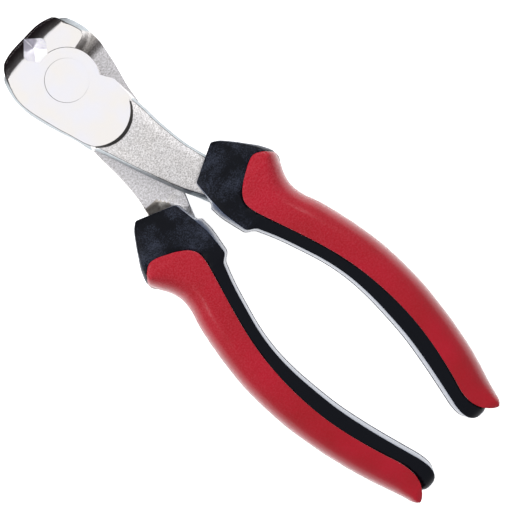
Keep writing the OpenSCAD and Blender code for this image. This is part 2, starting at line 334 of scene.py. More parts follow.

# %% [markdown]
# ## Milled and cut steel, and dark lines
#
# Between the ground and the blasted surfaces lie others. The lap faces are milled, so they are smoother than
# the blasted skin and only lightly grained. The hollow behind the cutting edges is broached, the shank has a
# shallow dish where the cutter ran out, and the flanks are trimmed in a press. Cut steel like that is smooth
# and shows broad soft shades. The dish is a darker brown grey, partly painted shade for the dark that its rising
# wall reflects. A dull dark finish paints shade into the narrow gaps round the rivet and in the seat of the other
# boss, and draws a dark line on the step at the end of each ground face, on the broken edges of the faces and
# along the upper edges of the shank.

# %% Milled and cut steel, and dark lines
def milled_steel():
    """Milled steel under nickel: a light grain without the sparkle of the blasted skin."""
    material, tree = blank_material("milled_nickel")
    place = add_node(tree, "ShaderNodeTexCoord").outputs["Object"]
    grit = add_node(tree, "ShaderNodeTexNoise", Vector=place, Scale=grain(0.5), Detail=2.0, Roughness=0.6)
    tone = add_node(tree, "ShaderNodeValToRGB", stops=((0.3, "9C9A9A"), (0.65, "CFCDD1")), Fac=grit.outputs["Fac"])
    # Painted shade in the corner behind the jaws
    colour = add_node(tree, "ShaderNodeMix", MULTIPLY,
                      {FACTOR: 1.0, COLOUR_A: tone.outputs[0], COLOUR_B: corner_painted_shade(tree, place)})
    bump = add_node(tree, "ShaderNodeBump", Height=grit.outputs["Fac"], Strength=0.25, Distance=0.05 * MM)
    steel = add_node(tree, "ShaderNodeBsdfPrincipled", Base_Color=colour.outputs[MIXED], Metallic=1.0,
                     Roughness=0.4, Normal=bump.outputs[0])
    return finish_material(material, steel)


def cut_steel(name, dark, light, roughness, grazing):
    """Steel as a cutter leaves it: a broad soft drift between two shades, and a tint at grazing angles."""
    material, tree = blank_material(name)
    place = add_node(tree, "ShaderNodeTexCoord").outputs["Object"]
    drift = add_node(tree, "ShaderNodeTexNoise", Vector=place, Scale=grain(1.2), Detail=3.0)
    tone = add_node(tree, "ShaderNodeValToRGB", stops=((0.3, dark), (0.7, light)), Fac=drift.outputs["Fac"])
    steel = add_node(tree, "ShaderNodeBsdfPrincipled", Base_Color=tone.outputs[0], Metallic=1.0,
                     Roughness=roughness, Specular_Tint=linear(grazing))
    return finish_material(material, steel)


def dark_line_steel():
    """Dull, dark and crusty: painted shade in narrow gaps, and dark lines on steps and edges."""
    material, tree = blank_material("dark_lines_and_gap_shade")
    place = add_node(tree, "ShaderNodeTexCoord").outputs["Object"]
    crust = add_node(tree, "ShaderNodeTexNoise", Vector=place, Scale=grain(0.4), Detail=3.0)
    tone = add_node(tree, "ShaderNodeValToRGB", stops=((0, "1B1A1A"), (1, "4A4745")), Fac=crust.outputs["Fac"])
    scale = add_node(tree, "ShaderNodeBsdfPrincipled", Base_Color=tone.outputs[0], Metallic=0.6, Roughness=0.6)
    return finish_material(material, scale)


LEVER_FINISHES = [
    FINISH["rivet_steel"], FINISH["lever_steel"], dark_line_steel(), milled_steel(),
    cut_steel("broached_steel", "9A989E", "C2C0C6", 0.22, "E6E5EA"),
    # The dish's darker brown grey is partly painted shade, for the dark that its rising wall reflects
    cut_steel("cutter_run_out", "847E7A", "ACA6A0", 0.3, "FFFFFF"),
    cut_steel("trimmed_flank", "A6AAAC", "C2C6C8", 0.35, "B4B8BC"),
]
# Their places in that list
GROUND, FORGED, DARK_LINE, MILLED, BROACHED, DISHED, TRIMMED = range(len(LEVER_FINISHES))
print("Finishes on a lever:", ", ".join(m.name for m in LEVER_FINISHES))

# %% [markdown]
# ## Black polypropylene
#
# The inner layer of each grip is injection moulded polypropylene. The mould is finely etched, so the black is
# satin, and handling leaves a bluish dust on it in soft patches, most of it on the guards. Its sheen rises at
# grazing angles. The inner side of each handle comes from a polished part of the mould, so it is glossy, and it
# gets a finish of its own: its base is a light bluish grey, a painted reflection of the tent that draws the pale
# line along the handle.

# %% Black polypropylene
DUST_FROM_Y, DUST_TO_Y = -76, -62
DUST_LEAST, DUST_MOST = 0.55, 1.15


def black_polypropylene():
    """Etched polypropylene: satin black under bluish dust."""
    material, tree = blank_material("black_polypropylene")
    place = add_node(tree, "ShaderNodeTexCoord").outputs["Object"]
    etch = add_node(tree, "ShaderNodeTexNoise", Vector=place, Scale=grain(0.4), Detail=3.0, Roughness=0.8)
    patches = add_node(tree, "ShaderNodeTexNoise", Vector=place, Scale=grain(7), Detail=4.0, Roughness=0.6)
    axes = add_node(tree, "ShaderNodeSeparateXYZ", Vector=place)
    handled = add_node(tree, "ShaderNodeMapRange", Value=axes.outputs["Y"], From_Min=DUST_FROM_Y * MM,
                       From_Max=DUST_TO_Y * MM, To_Min=DUST_LEAST, To_Max=DUST_MOST)
    dust = etch.outputs["Fac"]
    for share in (patches.outputs["Fac"], handled.outputs[0]):
        dust = add_node(tree, "ShaderNodeMath", {"operation": "MULTIPLY"}, {0: dust, 1: share}).outputs[0]
    colour = add_node(tree, "ShaderNodeValToRGB", stops=((0.27, "060810"), (0.46, "383D4C")), Fac=dust)
    bump = add_node(tree, "ShaderNodeBump", Height=etch.outputs["Fac"], Strength=0.25, Distance=0.05 * MM)
    plastic = add_node(tree, "ShaderNodeBsdfPrincipled", Base_Color=colour.outputs[0], Roughness=0.45,
                       Specular_IOR_Level=0.09, Sheen_Weight=0.8, Sheen_Roughness=0.25,
                       Sheen_Tint=linear("D0DAF4"), Normal=bump.outputs[0])
    return finish_material(material, plastic)


def painted_pale_polypropylene():
    """The same plastic from a polished mould, with a light bluish grey base: a painted reflection of the tent."""
    material, tree = blank_material("painted_pale_polypropylene")
    return finish_material(material, add_node(tree, "ShaderNodeBsdfPrincipled", Base_Color=linear("5C6884"),
                                              Roughness=0.3, IOR=1.5))


FINISH["hard_sleeve"] = black_polypropylene()
SLEEVE_FINISHES = [FINISH["hard_sleeve"], painted_pale_polypropylene()]
print("Finishes on a sleeve:", ", ".join(m.name for m in SLEEVE_FINISHES))

# %% [markdown]
# ## Red thermoplastic elastomer
#
# The outer layer is a soft elastomer, moulded over the black one. It is rubbery and satin, with a fine leather
# like grain from the mould of about 0.5 mm, and it pales towards its edges, where the eye meets it at a shallow
# angle. A white sheen gives that rim, as short fuzz or dust does on the real surface, and a thin coat adds the
# soft shine of skin oil. Its plain reflection is kept low, so the red stays deep in the middle.

# %% Red elastomer
# Painted falloff of light along the handle: the pale pores thin out from the guard towards the end
LIGHT_FALLOFF_FROM_Y, LIGHT_FALLOFF_TO_Y = -130, -65
LIGHT_FALLOFF_LEAST, LIGHT_FALLOFF_MOST = 0.05, 0.4


def red_elastomer():
    """Moulded elastomer: deep red, with pale pink pores that thin out away from the guard, a painted falloff of
    light along the handle.
    """
    material, tree = blank_material("red_elastomer")
    place = add_node(tree, "ShaderNodeTexCoord").outputs["Object"]
    pores = add_node(tree, "ShaderNodeTexNoise", Vector=place, Scale=grain(0.5), Detail=3.0, Roughness=0.6)
    clouds = add_node(tree, "ShaderNodeTexNoise", Vector=place, Scale=grain(12), Detail=2.0)
    base = add_node(tree, "ShaderNodeValToRGB", stops=((0.3, "A80218"), (0.7, "B60524")), Fac=clouds.outputs["Fac"])
    axes = add_node(tree, "ShaderNodeSeparateXYZ", Vector=place)
    lit_near_guard = add_node(tree, "ShaderNodeMapRange", Value=axes.outputs["Y"], From_Min=LIGHT_FALLOFF_FROM_Y * MM,
                    From_Max=LIGHT_FALLOFF_TO_Y * MM, To_Min=LIGHT_FALLOFF_LEAST, To_Max=LIGHT_FALLOFF_MOST)
    speck = add_node(tree, "ShaderNodeMapRange", Value=pores.outputs["Fac"], From_Min=0.4, From_Max=0.7,
                     To_Min=0.0, To_Max=lit_near_guard.outputs[0])
    colour = add_node(tree, "ShaderNodeMix", {"data_type": "RGBA"},
                      {FACTOR: speck.outputs[0], COLOUR_A: base.outputs[0], COLOUR_B: linear("D4495A")})
    bump = add_node(tree, "ShaderNodeBump", Height=pores.outputs["Fac"], Strength=0.3, Distance=0.06 * MM)
    rubber = add_node(tree, "ShaderNodeBsdfPrincipled", Base_Color=colour.outputs[MIXED], Roughness=0.42,
                      Specular_IOR_Level=0.05, Coat_Weight=0.4, Coat_Roughness=0.2, Sheen_Weight=1.0,
                      Sheen_Roughness=0.34, Normal=bump.outputs[0])
    return finish_material(material, rubber)


FINISH["soft_cover"] = red_elastomer()
print("Made", FINISH["soft_cover"].name)

# %% [markdown]
# ## Tools for the moulded grips
#
# A moulded grip is a bar whose outline changes along its length, so it is drawn the way a pattern maker would
# loft it: as ribs. Each rib joins a point on the inner edge to a point on the outer edge of the outline, and a
# smooth curve through the ribs fills in the ones between. The rows below are real sizes, in millimetres from the
# pivot, for the handle at the right.

# %% Smooth rows and outlines
def smooth_rows(rows, per_span):
    """Rows on a smooth curve through the given rows, with per_span of them for each span."""
    rows = [Vector(r) for r in rows]
    steps = [max((Vector(b[:2]) - Vector(a[:2])).length, (Vector(b[2:4]) - Vector(a[2:4])).length)
             for a, b in zip(rows, rows[1:])]
    slopes = [(rows[1] - rows[0]) / steps[0]]
    for a, b, c, before, after in zip(rows, rows[1:], rows[2:], steps, steps[1:]):
        slopes.append(((b - a) / before * after + (c - b) / after * before) / (before + after))
    slopes.append((rows[-1] - rows[-2]) / steps[-1])
    out = []
    for a, b, step, slope_a, slope_b in zip(rows, rows[1:], steps, slopes, slopes[1:]):
        for k in range(per_span):
            t = k / per_span
            out.append(a * (2 * t**3 - 3 * t**2 + 1) + slope_a * step * (t**3 - 2 * t**2 + t)
                       + b * (3 * t**2 - 2 * t**3) + slope_b * step * (t**3 - t**2))
    return out + [rows[-1]]


# Inner edge x and y, outer edge x and y, width of the rounded outer side, half thickness
GRIP_RIBS = [
    (4.5, -47.8, 16.4, -42.4, 0.8, 8.9), (4.35, -48.6, 18.35, -43.8, 0.9, 9.2),
    (4.1, -51.0, 20.6, -46.45, 1.0, 9.5), (3.8, -54.0, 23.45, -50.3, 1.3, 9.7),
    (3.6, -57.2, 26.0, -54.0, 2.2, 9.9), (3.5, -60.2, 27.5, -58.2, 4.0, 10.0),
    (3.8, -63.0, 26.2, -61.5, 5.5, 10.0), (4.2, -66.0, 24.5, -65.0, 6.5, 10.0),
    (4.7, -68.2, 23.8, -67.8, 7.0, 10.0), (6.9, -69.9, 23.8, -70.0, 7.0, 10.0),
    (7.9, -72.0, 24.2, -72.3, 7.0, 10.0), (9.6, -76.2, 25.6, -76.4, 7.0, 10.0),
    (12.0, -83.5, 27.3, -83.5, 7.0, 10.0), (14.4, -92.0, 28.9, -92.0, 7.0, 10.0),
    (15.6, -99.5, 29.8, -99.5, 7.0, 10.0), (15.9, -107.5, 30.05, -107.5, 7.0, 10.0),
    (15.5, -115.5, 29.75, -116.0, 7.0, 10.0), (14.7, -124.0, 28.7, -125.0, 7.0, 9.9),
    (13.2, -132.5, 27.1, -134.0, 7.0, 9.8), (11.6, -140.0, 25.2, -142.0, 7.0, 9.7),
    (10.1, -147.0, 23.1, -149.0, 6.5, 9.5), (9.3, -151.0, 22.0, -152.3, 6.0, 9.3),
    (9.4, -154.0, 21.0, -155.2, 5.0, 9.2), (11.5, -157.2, 20.25, -157.6, 4.0, 9.0),
    (14.5, -158.5, 19.75, -158.9, 3.2, 8.8), (16.9, -159.6, 18.6, -159.8, 2.8, 8.6),
]
print(len(GRIP_RIBS), "ribs along a grip")

# %% [markdown]
# The top of a grip is nearly flat and rounds off towards the outer side. Its height at any point of the plan
# follows from how far that point is from the outer edge, so the hard sleeve and the soft cover over it can both
# use one rule and lie exactly on each other.

# %% Height of the grip over its plan
ROUND_POWER = 2.3
CROWN = 0.05
FINE_STEPS = 40
HALF_WAY = (22, -107.5)


def rounded_height(inset, roundness, half):
    """Half thickness at a distance in from the outer edge."""
    rest = 1 - min(max(inset / roundness, 0), 1)
    return half * (1 - rest**ROUND_POWER) ** (1 / ROUND_POWER)


def crown(share):
    """Slight fall of the top away from the middle of its width."""
    return 1 - CROWN * (2 * share - 1) ** 2


def point_tree(points):
    """A tree that finds the nearest of some plan points."""
    tree = KDTree(len(points))
    for i, p in enumerate(points):
        tree.insert((p[0], p[1], 0), i)
    tree.balance()
    return tree


fine_ribs = smooth_rows(GRIP_RIBS, FINE_STEPS)
inner_tree = point_tree([r[:2] for r in fine_ribs])
outer_tree = point_tree([r[2:4] for r in fine_ribs])


def grip_height(x, y):
    """Half thickness of the grip over a point of its plan."""
    _, _, to_inner = inner_tree.find((x, y, 0))
    _, nearest, to_outer = outer_tree.find((x, y, 0))
    rib = fine_ribs[nearest]
    return rounded_height(to_outer, rib[4], rib[5]) * crown(to_inner / (to_inner + to_outer))


print("Half way along, a grip is", round(2 * grip_height(*HALF_WAY), 1), "mm thick")


# %% [markdown]
# ## Where the soft cover lies
#
# The red layer covers the outer side of the black one. Its strips join a boundary line on the top to the
# outline of the grip. They are needed before either layer is made, because the black layer is sunk under the
# red one, as the real mould does it: the first moulding leaves a recess that the second one fills.

# %% Strips of the soft cover
# Boundary x and y, outline x and y
COVER_STRIPS = [
    (27.3, -58.2, 27.5, -58.6), (26.2, -57.2, 27.3, -59.4), (24.2, -55.4, 26.9, -60.3),
    (22.0, -54.3, 26.4, -61.2), (19.5, -54.8, 25.9, -62.1), (17.1, -56.0, 25.4, -63.0),
    (13.4, -58.2, 24.9, -64.2), (11.25, -60.1, 24.4, -65.4), (10.05, -62.4, 24.0, -66.8),
    (10.1, -65.1, 23.8, -68.4), (10.9, -68.3, 23.85, -70.4), (12.1, -72.1, 24.3, -73.2),
    (14.0, -78.0, 26.0, -78.0), (16.45, -86.1, 27.85, -86.0), (18.25, -93.5, 29.1, -93.5),
    (19.4, -101.0, 29.95, -101.5), (19.9, -108.0, 30.05, -108.0),
    (19.95, -114.5, 29.8, -115.0), (19.4, -122.5, 29.0, -123.0),
    (18.2, -130.0, 27.7, -131.0), (16.6, -137.0, 26.1, -138.5),
    (14.9, -143.2, 24.3, -145.2), (13.6, -147.5, 23.0, -149.3), (13.1, -151.5, 21.75, -153.1),
    (13.3, -153.9, 20.95, -155.5), (14.0, -155.9, 20.45, -157.1), (14.9, -157.3, 20.15, -158.1),
    (15.8, -158.35, 19.8, -158.85), (16.65, -159.1, 19.3, -159.4), (17.45, -159.6, 18.7, -159.7),
]
LIP = 0.3
COVER_STEPS, FINE_COVER_STEPS = 6, 24
cover_rows = smooth_rows(COVER_STRIPS, COVER_STEPS)
fine_cover = smooth_rows(COVER_STRIPS, FINE_COVER_STEPS)
boundary_tree = point_tree([r[:2] for r in fine_cover])


def under_cover(x, y):
    """How deep a plan point lies inside the cover's boundary, in millimetres, or 0 outside it."""
    _, nearest, depth = boundary_tree.find((x, y, 0))
    row = fine_cover[nearest]
    inward = (x - row[0]) * (row[2] - row[0]) + (y - row[1]) * (row[3] - row[1])
    return depth if inward > 0 else 0


print("The cover starts", round(-COVER_STRIPS[3][1], 1), "mm from the pivot and is", len(cover_rows), "rows long")

# %% [markdown]
# ## From a bmesh to a piece
#
# Every part is modelled once, in millimetres about the lap plane, and placed twice: as it is for the front half,
# and turned over about the long axis for the rear half. A piece rides on its half's body, so it follows the
# joint, and stands for the CAD node that it dresses. The two grips of the real tool end at slightly different
# places, so each end is shifted first, by a move that fades in along the last part of the grip.

# %% Placing a piece on each half
SHARP_ANGLE = math.radians(32)
FLAT = 0.99999
END_FROM_Y, END_TO_Y = -136, -156
# Shift of each half's ends in x and y, before the rear one is turned over
SLEEVE_ENDS = {"front": (0.3, 2.45), "rear": (-0.8, -1.3)}
COVER_ENDS = {"front": (0.6, 2.4), "rear": (0, -0.4)}


def shift_end(bm, shift):
    """Moves the end of a grip by a shift in x and y, and leaves the rest where it is."""
    for vert in bm.verts:
        share = min(max((END_FROM_Y - vert.co.y) / (END_FROM_Y - END_TO_Y), 0), 1)
        vert.co += Vector((*shift, 0)) * share**2 * (3 - 2 * share)


def place_pair(bm, name, finishes, ends=None):
    """Makes a front and a rear piece from one bmesh, whose faces pick from the finishes."""
    for half, place in (("front", TO_FRONT), ("rear", TO_REAR)):
        copy = bm.copy()
        if ends:
            shift_end(copy, ends[half])
        bmesh.ops.transform(copy, matrix=place, verts=copy.verts)
        mesh = bpy.data.meshes.new(f"{half}_{name}_form")
        copy.to_mesh(mesh)
        copy.free()
        mesh.shade_smooth()
        mesh.set_sharp_from_angle(angle=SHARP_ANGLE)
        for polygon in mesh.polygons:
            if abs(polygon.normal.z) > FLAT:
                polygon.use_smooth = False
        piece = bpy.data.objects.new(f"{half}_{name}_form", mesh)
        for finish in finishes:
            mesh.materials.append(finish)
        bpy.context.scene.collection.objects.link(piece)
        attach(piece, f"{half}_half")
        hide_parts(f"{half}_{name}")
    print(f"{name}: {len(bm.faces)} faces each")
    bm.free()


def raise_wall(bm, sections):
    """Starts as a ring shaped like the first section, then extrudes it and moves it to each next one."""
    ring = bmesh.ops.create_circle(bm, segments=len(sections[0]), radius=1)["verts"]
    first = ring
    for vert, place in zip(ring, sections[0]):
        vert.co = place
    for section in sections[1:]:
        edges = [bm.edges.get((v, w)) for v, w in zip(ring, ring[1:] + ring[:1])]
        fresh = set(bmesh.ops.extrude_edge_only(bm, edges=edges)["geom"])
        ring = [next(e.other_vert(v) for e in v.link_edges if e.other_vert(v) in fresh) for v in ring]
        for vert, place in zip(ring, section):
            vert.co = place
    return first, ring


def loft(bm, sections):
    """A wall through all the sections, with both ends closed."""
    caps = [bmesh.ops.contextual_create(bm, geom=ring)["faces"][0] for ring in raise_wall(bm, sections)]
    bmesh.ops.recalc_face_normals(bm, faces=bm.faces)
    return caps


# %% [markdown]
# ## The hard sleeve
#
# The black layer is one moulding with a guard at its top. Its inner side bulges a little between two crisp
# edges, where the two halves of the mould met the sides, and the guard's front is a flat wall across the shank.
# Beside the guard the inner side stands out further, as a ledge that tapers off along the handle. Each rib
# becomes a closed ring: a bulged inner side, a small corner, a flat top and a rounded outer side. The first ring
# starts as a circle and takes its section's shape. Then it is extruded and moved to each next section in turn.

# %% Section of the sleeve
BULGE, FLASH, CORNER = 0.55, 0.16, 0.5
LEDGE, LEDGE_STEP = 1.1, 0.7
LEDGE_FROM_Y, LEDGE_TO_Y = -55.4, -68.6
# Depth of the recess for the cover, the width of its edge, and the length over which it starts at the guard
SINK, SINK_EDGE, SINK_RUN = 1.4, 0.8, 2.5
GUARD_TIP_Y = -58.3
SIDE_POINTS, CORNER_POINTS, TOP_POINTS, ROUND_POINTS = 5, 3, 9, 9


def sleeve_section(rib):
    """Points of one ring, with the part under the cover sunk and its outer side pulled in."""
    inner, outer = Vector(rib[:2]), Vector(rib[2:4])
    along = (outer - inner).normalized()
    outer -= along * SINK * min(max((GUARD_TIP_Y - rib[3]) / SINK_RUN, 0), 1)
    width = (outer - inner).length
    half = rib[5] - LIP
    roundness = min(rib[4], width / 2)
    if inner.y > LEDGE_FROM_Y:
        ledge = max(1 - (inner.y - LEDGE_FROM_Y) / LEDGE_STEP, 0)
    else:
        ledge = max((inner.y - LEDGE_TO_Y) / (LEDGE_FROM_Y - LEDGE_TO_Y), 0)
    bulge = BULGE + LEDGE * ledge
    top = [(-bulge - FLASH, 0)]
    for k in range(SIDE_POINTS):
        share = k / SIDE_POINTS
        top.append((-bulge * (1 - share**2), max((half - CORNER) * share, FLASH)))
    for k in range(CORNER_POINTS):
        turn = math.pi / 2 * k / CORNER_POINTS
        top.append((CORNER * (1 - math.cos(turn)), half - CORNER * (1 - math.sin(turn))))
    for k in range(TOP_POINTS):
        top.append((CORNER + (width - roundness - CORNER) * k / TOP_POINTS, half))
    for k in range(ROUND_POINTS + 1):
        turn = math.pi / 2 * k / ROUND_POINTS
        top.append((width - roundness + roundness * math.sin(turn) ** (2 / ROUND_POWER),
                    half * max(math.cos(turn), 0) ** (2 / ROUND_POWER)))
    section = []
    for u, z in top:
        place = inner + along * u
        depth = under_cover(*place)
        z *= crown(min(max(u / width, 0), 1))
        if depth:
            z = min(z, max(grip_height(*place) - LIP - SINK * min(depth / SINK_EDGE, 1), 0))
        section.append((*place, z))
    return section + [(x, y, -z) for x, y, z in reversed(section[1:-1])]


print("Points on one ring of the sleeve:", len(sleeve_section(GRIP_RIBS[0])))

# %% Hard sleeve
SLEEVE_STEPS = 4
GUARD_EDGE, GUARD_EDGE_STEPS = 0.45, 3
# The pale side, with its painted reflection, reaches this far in from the inner outline, where the wall is about
# upright
PALE_SIDE_REACH, PALE_SIDE_LEAN = BULGE + LEDGE + 0.05, 0.35
SLEEVE_END_RIBS = [
    (10.1, -147.0, 23.0, -147.5, 6.0, 9.5), (9.3, -151.0, 21.5, -151.0, 5.5, 9.3),
    (9.2, -154.3, 20.2, -154.0, 5.0, 9.0), (10.1, -156.7, 18.8, -156.4, 3.6, 8.0),
    (11.4, -157.9, 17.6, -157.7, 2.4, 6.6), (12.9, -158.6, 16.2, -158.5, 1.3, 4.2),
]


def build_sleeve():
    """The black layer, from the guard's front wall to its round end inside the soft cover's nose."""
    keep = next(i for i, r in enumerate(GRIP_RIBS) if r[1] == SLEEVE_END_RIBS[0][1])
    rows = smooth_rows(GRIP_RIBS[:keep] + SLEEVE_END_RIBS, SLEEVE_STEPS)
    bm = bmesh.new()
    caps = loft(bm, [sleeve_section(r) for r in rows])
    bmesh.ops.bevel(bm, geom=list(caps[0].edges), offset=GUARD_EDGE, segments=GUARD_EDGE_STEPS, affect="EDGES",
                    profile=0.5, material=-1)
    for face in bm.faces:
        centre = face.calc_center_median()
        _, _, to_inner = inner_tree.find((centre.x, centre.y, 0))
        face.material_index = int(to_inner < PALE_SIDE_REACH and abs(face.normal.z) < PALE_SIDE_LEAN)
    return bm


place_pair(build_sleeve(), "grip_sleeve", SLEEVE_FINISHES, SLEEVE_ENDS)

# %% [markdown]
# ## The soft cover
#
# The red layer is a shell, open towards the inner side of the handle. Each of its rows is a ring shaped like a
# letter C: the outer skin from the boundary on the top, round the outline, to the boundary underneath, and back
# along the inner skin. Scaling the outer skin towards the boundary gives the inner one, so the wall runs thin
# where a strip is short and the two skins never cross. The outer skin dips at the boundary to make a soft lip.
# Near the end of the handle the hollow closes, so the nose is solid, and a rule of its own rounds it off.

# %% Soft cover
COVER_WALL, WALL_SHARE = 2.2, 0.45
LIP_WIDTH, LIP_DIP = 0.7, 0.55
# The skin's columns crowd together towards the boundary, by this power
SKIN_COLUMNS, SKIN_CROWDING, LINING_COLUMNS = 20, 1.4, 8
NOSE_FROM_Y, NOSE_TO_Y = -151.5, -156
NOSE_ROUND, NOSE_TIGHTEN, NOSE_HALF, NOSE_DROP, NOSE_SHARE = 3.6, 0.7, 9.2, 0.7, 0.7
SOLID_NOSE_Y, NOSE_BLEND = -151, 4


def skin_height(row, share):
    """Height of the outer skin at a share of the way from the boundary to the outline."""
    if share >= 1:
        return 0
    boundary, outline = Vector(row[:2]), Vector(row[2:4])
    width = (outline - boundary).length
    lip = LIP_DIP * LIP * math.exp(-width * share / LIP_WIDTH)
    body = grip_height(*boundary.lerp(outline, share))
    nose = min(max((NOSE_FROM_Y - row[1]) / (NOSE_FROM_Y - NOSE_TO_Y), 0), 1)
    if nose:
        end = max((NOSE_TO_Y - row[1]) / (NOSE_TO_Y - COVER_STRIPS[-1][1]), 0)
        side = rounded_height(width * (1 - share), min(NOSE_ROUND * (1 - NOSE_TIGHTEN * end), NOSE_SHARE * width),
                              NOSE_HALF - NOSE_DROP * end**2)
        body += (side - body) * nose
    return max(body - lip, 0)


def cover_section(row):
    """One ring of the shell: the outer skin, then the lining."""
    boundary, outline = Vector(row[:2]), Vector(row[2:4])
    width = (outline - boundary).length
    wall = min(COVER_WALL, WALL_SHARE * width)
    hollow = min(max((row[1] - SOLID_NOSE_Y) / NOSE_BLEND, 0), 1)
    skin = [math.sin(k / SKIN_COLUMNS * math.pi / 2) ** SKIN_CROWDING for k in range(SKIN_COLUMNS + 1)]
    lining = [math.sin(k / LINING_COLUMNS * math.pi / 2) for k in range(LINING_COLUMNS + 1)]
    outer = [(*boundary.lerp(outline, t), skin_height(row, t)) for t in skin]
    inner = [(*boundary.lerp(outline, hollow * t * (1 - wall / width)),
              skin_height(row, hollow * t) * (1 - wall / FACE) * (hollow + (1 - hollow) * (1 - t)))
             for t in lining]
    under = [(x, y, -z) for x, y, z in reversed(outer[:-1])]
    back = [(x, y, -z) for x, y, z in inner]
    return outer + under + back + list(reversed(inner[:-1]))


def build_cover():
    """The red layer, from the tip of the guard to the nose of the grip."""
    bm = bmesh.new()
    loft(bm, [cover_section(r) for r in cover_rows])
    return bm


place_pair(build_cover(), "grip_cover", [FINISH["soft_cover"]], COVER_ENDS)

# %% [markdown]
# ## The head of a lever
#
# Each lever is one forging. Its head is a plate on its own side of the lap plane, with a jaw that stands over
# the full thickness beside the other lever's boss. A smith thinks of such a shape in level cuts, as on a contour
# map, so it is built that way: the outline at each height is a ring, and each ring is extruded and moved to make
# the next. The jaws' noses are ground to a curve, so the front of the outline steps back faster and faster as
# the cuts near the faces. A table holds each station of the outline at the lap plane and at both faces.

# %% Outline of the head, station by station
LAP_GAP, EDGE_GAP = 0.1, 0.04
BOSS_R, SEAT_R = 9.6, 9.75
RIVET_HEAD_R, RIVET_R, RIVET_HEAD_T = 6.57, 4.6, 3.0
BORE_SHIFT = (-0.062, 0.02)
# Height, and how far the ground nose reaches at that height
NOSE_PROFILE = [(0, 18.9), (2.5, 18.87), (4.5, 18.76), (5.4, 18.68), (6.3, 18.56), (7.23, 18.35), (8.0, 18.0),
                (8.62, 17.45), (9.06, 16.9), (9.36, 16.3), (9.59, 15.65), (9.71, 15.2), (9.8, 14.75),
                (9.866, 14.35), (9.919, 13.95), (9.962, 13.5), (9.982, 13.2), (10, 12.8)]
# Plan at the lap plane, at the lever's own face and at the far face, and how far it follows the nose curve
JAW_STATIONS = [
    (-2.5, 18.9, -5.0, 13.0, -5.0, 13.0, 1.0), (-5.0, 18.8, -6.8, 12.95, -6.8, 13.0, 1.0),
    (-6.7, 18.5, -8.4, 12.85, -8.2, 12.9, 1.0), (-8.2, 18.05, -10.1, 12.7, -9.8, 12.85, 1.0),
    (-9.6, 17.45, -11.75, 12.55, -11.4, 12.8, 1.0),
    (-10.6, 17.2, -12.0, 12.3, -11.4, 12.4, 0.75), (-11.5, 16.8, -12.2, 11.95, -11.6, 12.1, 0.45),
    (-12.4, 16.3, -12.4, 11.6, -11.8, 11.8, 0.25), (-13.1, 15.7, -12.6, 11.2, -11.95, 11.5, 0.1),
    (-13.55, 15.1, -12.85, 10.8, -12.15, 11.2, 0.05), (-13.9, 14.2, -13.05, 10.3, -12.35, 10.7, 0.0),
    (-14.4, 12.9, -13.2, 9.7, -12.6, 10.1, 0.0), (-14.8, 11.4, -13.55, 8.9, -12.85, 9.3, 0.0),
    (-15.2, 9.7, -13.85, 8.0, -13.1, 8.5, 0.0), (-15.4, 7.6, -14.2, 6.6, -13.3, 7.7, 0.0),
]
JAW_BACK = (-15.3, 3.9, -14.35, 4.3, -13.4, 7.1)
# Number of the first station whose corner at the ground face is broken
BROKEN_FROM = 5
# The corner of the nose lies further forward on the lever's own side: shift in x and y at full height
CORNER_LEAN = (0.65, 0.4)
LEANING = {2: 0.2, 3: 0.6, 4: 1.0, 5: 0.8, 6: 0.5, 7: 0.2}
# Flank of the plate, at the lap plane and at the face
PLATE_FLANK = [(-15.15, 2.4, -14.25, 2.5), (-14.75, 0.4, -13.95, 0.4), (-14.05, -2.8, -13.3, -2.8),
               (-13.25, -5.8, -12.6, -5.9), (-12.45, -8.5, -11.95, -8.6), (-11.6, -11.2, -11.15, -11.3),
               (-11.0, -13.8, -10.5, -13.9), (-10.6, -16.2, -9.9, -16.2), (-10.1, -18.2, -9.1, -18.2)]
# Handle side of the plate up to its shoulder, and how far each station gives way to the other jaw's fillet
PLATE_SHOULDER = [(10.1, -16.9, 9.4, -16.8, 0), (10.3, -15.3, 9.65, -15.3, 0), (10.3, -13.3, 9.7, -13.3, 0),
                  (10.2, -11.5, 9.8, -11.5, 0.35), (10.1, -9.9, 9.9, -9.9, 0.7), (9.6, -9.0, 9.57, -9.0, 1),
                  (8.6, -7.3, 8.6, -7.3, 1), (7.75, -5.66, 7.75, -5.66, 1)]
# Corner line of the nose: a point on it, and its lean in x for each millimetre of y
NOSE_END = (-9.7, 17.5, 0.44)
FACE_END = (-0.8, -11.72)
FACE_END_R, STEP_WIDTH, STEP_DEPTH = 10.62, 1.0, 1.0
# Share of its width that the step at the end of the face has at both of its ends
STEP_LEAST = 0.45
FACE_END_FROM, FACE_END_TO = -134.3, -31.7
# Back wall of the jaw, from its outer corner to the other lever's boss
BACK_WALL = [(-12.7, 5.9), (-11.6, 5.5), (-10.5, 5.25), (-9.4, 5.05)]
WALL_END_Y = 4.9
FILLET, FILLET_REACH = 3.0, 2.8
GIVE_WAY = math.radians(12)
print("Stations on a jaw:", len(JAW_STATIONS), "and on its plate:", len(PLATE_FLANK) + len(PLATE_SHOULDER))

# %% [markdown]
# The two jaws meet along the cutting edge at the front. Behind it they are hollowed, so that a cut wire's end has
# room. Seen from above, the hollow is a V with rounded corners that closes again towards the boss. It flares a
# little towards the faces. Where the nose curves back past the V's point, the outline starts on the V instead.

# %% Hollow behind the cutting edge
VALLEY_Y, FLARE_FROM, FLARE = 18.4, 5.7, 0.2
HOLLOW_CURVE = [(-3.7, 13.9), (-3.95, 13.2), (-3.9, 12.4), (-3.5, 11.7), (-2.7, 10.8)]
HOLLOW_END_X = -1.75


def between(a, b, share):
    """Point at a share of the way between two plan points."""
    return (a[0] + (b[0] - a[0]) * share, a[1] + (b[1] - a[1]) * share)


